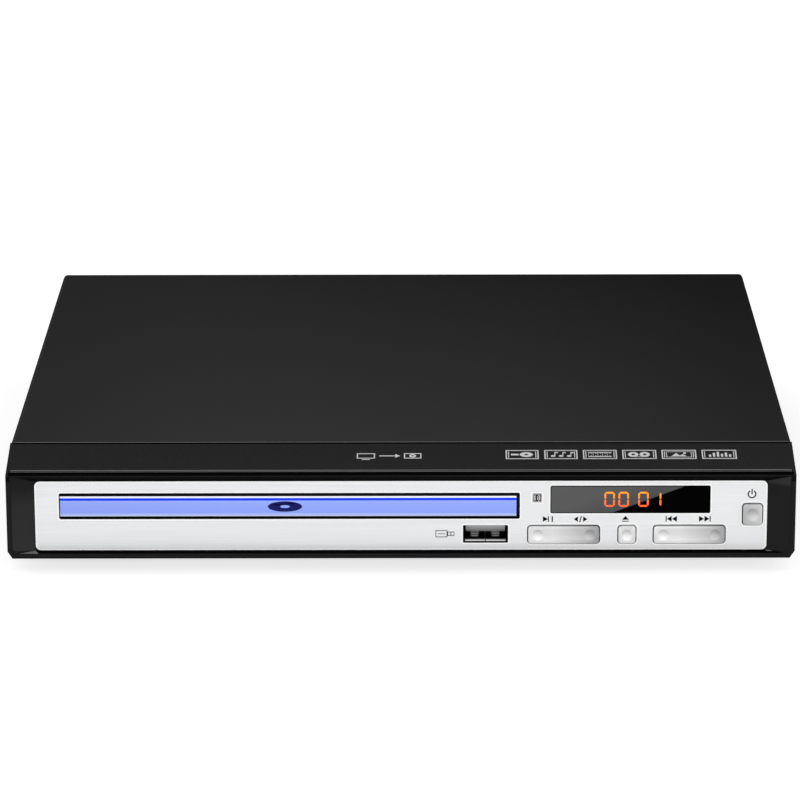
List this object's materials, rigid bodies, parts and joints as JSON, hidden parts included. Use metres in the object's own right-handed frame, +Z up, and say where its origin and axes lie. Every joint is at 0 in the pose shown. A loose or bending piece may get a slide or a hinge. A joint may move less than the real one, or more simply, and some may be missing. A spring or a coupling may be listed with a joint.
{
  "type": "disc player",
  "caption": "Compact disc player with a sliding tray, motor loader, tilting traverse, clamp, press keys and rear sockets.",
  "frame": {"origin": "bottom centre of the whole box, on the plane of the feet", "axes": "+Z up, +Y towards the rear sockets, the front face and the tray towards -Y, +X to the right seen from the front"},
  "size_m": [0.225, 0.2148, 0.0334],
  "materials": {
    "cover_paint": "satin, fine texture",
    "chassis_steel": "galvanised sheet",
    "screw_steel": "bright zinc",
    "bezel_black": "fine moulded texture",
    "silver_panel": "brushed",
    "smoked_window": "polished",
    "door_blue": "pearl gloss",
    "button_silver": "satin silver",
    "board_green": "solder mask",
    "board_brown": "phenolic",
    "black_plastic": "moulded",
    "grey_plastic": "moulded",
    "white_plastic": "natural acetal",
    "rubber": "matt",
    "nickel": "bright",
    "brass": "turned",
    "die_cast": "as cast",
    "copper_tape": "wound",
    "cap_sleeve": "shrink sleeve",
    "jack_yellow": "moulded",
    "ribbon_white": "flat cable",
    "wire_red": "insulation",
    "wire_brown": "insulation",
    "lens_glass": "coated"
  },
  "bodies": {
    "case": {"bottom_chassis": "chassis_steel", "rubber_feet": "rubber", "top_cover": "cover_paint", "rear_panel": "chassis_steel", "case_screws": "screw_steel", "front_bezel": "bezel_black", "fascia_panel": "silver_panel", "display_window": "smoked_window", "ir_window": "smoked_window", "front_board": "board_brown", "led_display": "black_plastic", "tact_switches": "nickel", "power_switch": "white_plastic", "ir_receiver": "black_plastic", "usb_board": "board_green", "usb_shell": "nickel", "usb_tongue": "black_plastic", "loader_frame": "grey_plastic", "loader_dampers": "rubber", "loader_screws": "screw_steel", "loading_motor": "screw_steel", "drive_belt": "rubber", "clamp_bridge": "grey_plastic", "main_board": "board_green", "main_chips": "black_plastic", "board_connectors": "white_plastic", "hdmi_socket": "nickel", "av_jack_block": "black_plastic", "av_jack_shells": "nickel", "av_jack_inserts": "jack_yellow", "mains_inlet": "black_plastic", "inlet_pins": "nickel", "power_board": "board_brown", "transformer": "copper_tape", "capacitors": "cap_sleeve", "heat_sink": "die_cast", "front_ribbon": "ribbon_white", "power_harness": "wire_red", "mains_wires": "wire_brown"},
    "tray": {"disc_tray": "grey_plastic", "tray_door": "door_blue"},
    "rack_gear": {"drive_gear": "white_plastic"},
    "belt_gear": {"pulley_gear": "white_plastic"},
    "motor_wheel": {"motor_pulley": "white_plastic"},
    "clamp": {"clamp_puck": "white_plastic", "clamp_plate": "chassis_steel"},
    "cam": {"cam_slider": "white_plastic"},
    "traverse": {"traverse_frame": "chassis_steel", "guide_rods": "nickel", "spindle_motor": "screw_steel", "sled_motor": "screw_steel"},
    "spindle": {"turntable": "black_plastic"},
    "sled": {"pickup_sled": "die_cast", "lens_yoke": "grey_plastic"},
    "screw": {"lead_screw": "brass"},
    "lens": {"lens_holder": "lens_glass"},
    "play_bar": {"play_rocker": "button_silver"},
    "skip_bar": {"skip_rocker": "button_silver"},
    "eject_key": {"eject_button": "button_silver"},
    "power_key": {"power_button": "button_silver"}
  },
  "joints": [
    {"name": "tray_slide", "type": "slide", "parent": "case", "child": "tray", "axis": [0, -1, 0], "range_m": [0, 0.132]},
    {"name": "rack_gear_spin", "type": "hinge", "parent": "case", "child": "rack_gear", "pos_m": [-0.07785, -0.0694, 0.015], "axis": [0, 0, 1], "continuous": true},
    {"name": "belt_gear_spin", "type": "hinge", "parent": "case", "child": "belt_gear", "pos_m": [-0.05625, -0.0694, 0.015], "axis": [0, 0, 1], "continuous": true},
    {"name": "motor_wheel_spin", "type": "hinge", "parent": "case", "child": "motor_wheel", "pos_m": [-0.01985, -0.0694, 0.015], "axis": [0, 0, 1], "continuous": true},
    {"name": "traverse_tilt", "type": "hinge", "parent": "case", "child": "traverse", "pos_m": [-0.03185, 0.0483, 0.01315], "axis": [1, 0, 0], "range_deg": [0, 3.65]},
    {"name": "cam_slide", "type": "slide", "parent": "case", "child": "cam", "axis": [1, 0, 0], "range_m": [0, 0.018]},
    {"name": "sled_slide", "type": "slide", "parent": "traverse", "child": "sled", "axis": [0, 1, 0], "range_m": [0, 0.034]},
    {"name": "screw_spin", "type": "hinge", "parent": "traverse", "child": "screw", "pos_m": [-0.00035, 0.0068, 0.01315], "axis": [0, 1, 0], "continuous": true},
    {"name": "turntable_spin", "type": "hinge", "parent": "traverse", "child": "spindle", "pos_m": [-0.03185, -0.0332, 0.018], "axis": [0, 0, 1], "continuous": true},
    {"name": "clamp_spin", "type": "hinge", "parent": "case", "child": "clamp", "pos_m": [-0.03185, -0.0332, 0.024], "axis": [0, 0, 1], "continuous": true},
    {"name": "lens_focus", "type": "slide", "parent": "sled", "child": "lens", "axis": [0, 0, 1], "range_m": [-0.0004, 0.0004], "stiffness_N_per_m": 12},
    {"name": "play_rock", "type": "hinge", "parent": "case", "child": "play_bar", "pos_m": [0.04655, -0.0998, 0.0103], "axis": [0, 0, 1], "range_deg": [-2, 2], "stiffness_Nm_per_rad": 0.15},
    {"name": "skip_rock", "type": "hinge", "parent": "case", "child": "skip_bar", "pos_m": [0.08245, -0.0998, 0.0103], "axis": [0, 0, 1], "range_deg": [-2, 2], "stiffness_Nm_per_rad": 0.15},
    {"name": "eject_press", "type": "slide", "parent": "case", "child": "eject_key", "axis": [0, 1, 0], "range_m": [0, 0.0005], "stiffness_N_per_m": 400},
    {"name": "power_press", "type": "slide", "parent": "case", "child": "power_key", "axis": [0, 1, 0], "range_m": [0, 0.0015], "stiffness_N_per_m": 400}
  ],
  "couplings": [
    {"joint": "rack_gear_spin", "follows": "tray_slide", "rad_per_m": 125},
    {"joint": "belt_gear_spin", "follows": "tray_slide", "rad_per_m": -550},
    {"joint": "motor_wheel_spin", "follows": "tray_slide", "rad_per_m": -2306.1},
    {"joint": "cam_slide", "follows": "traverse_tilt", "m_per_rad": 0.28256},
    {"joint": "screw_spin", "follows": "sled_slide", "rad_per_m": 2094.4},
    {"joint": "clamp_spin", "follows": "turntable_spin", "ratio": 1}
  ]
}
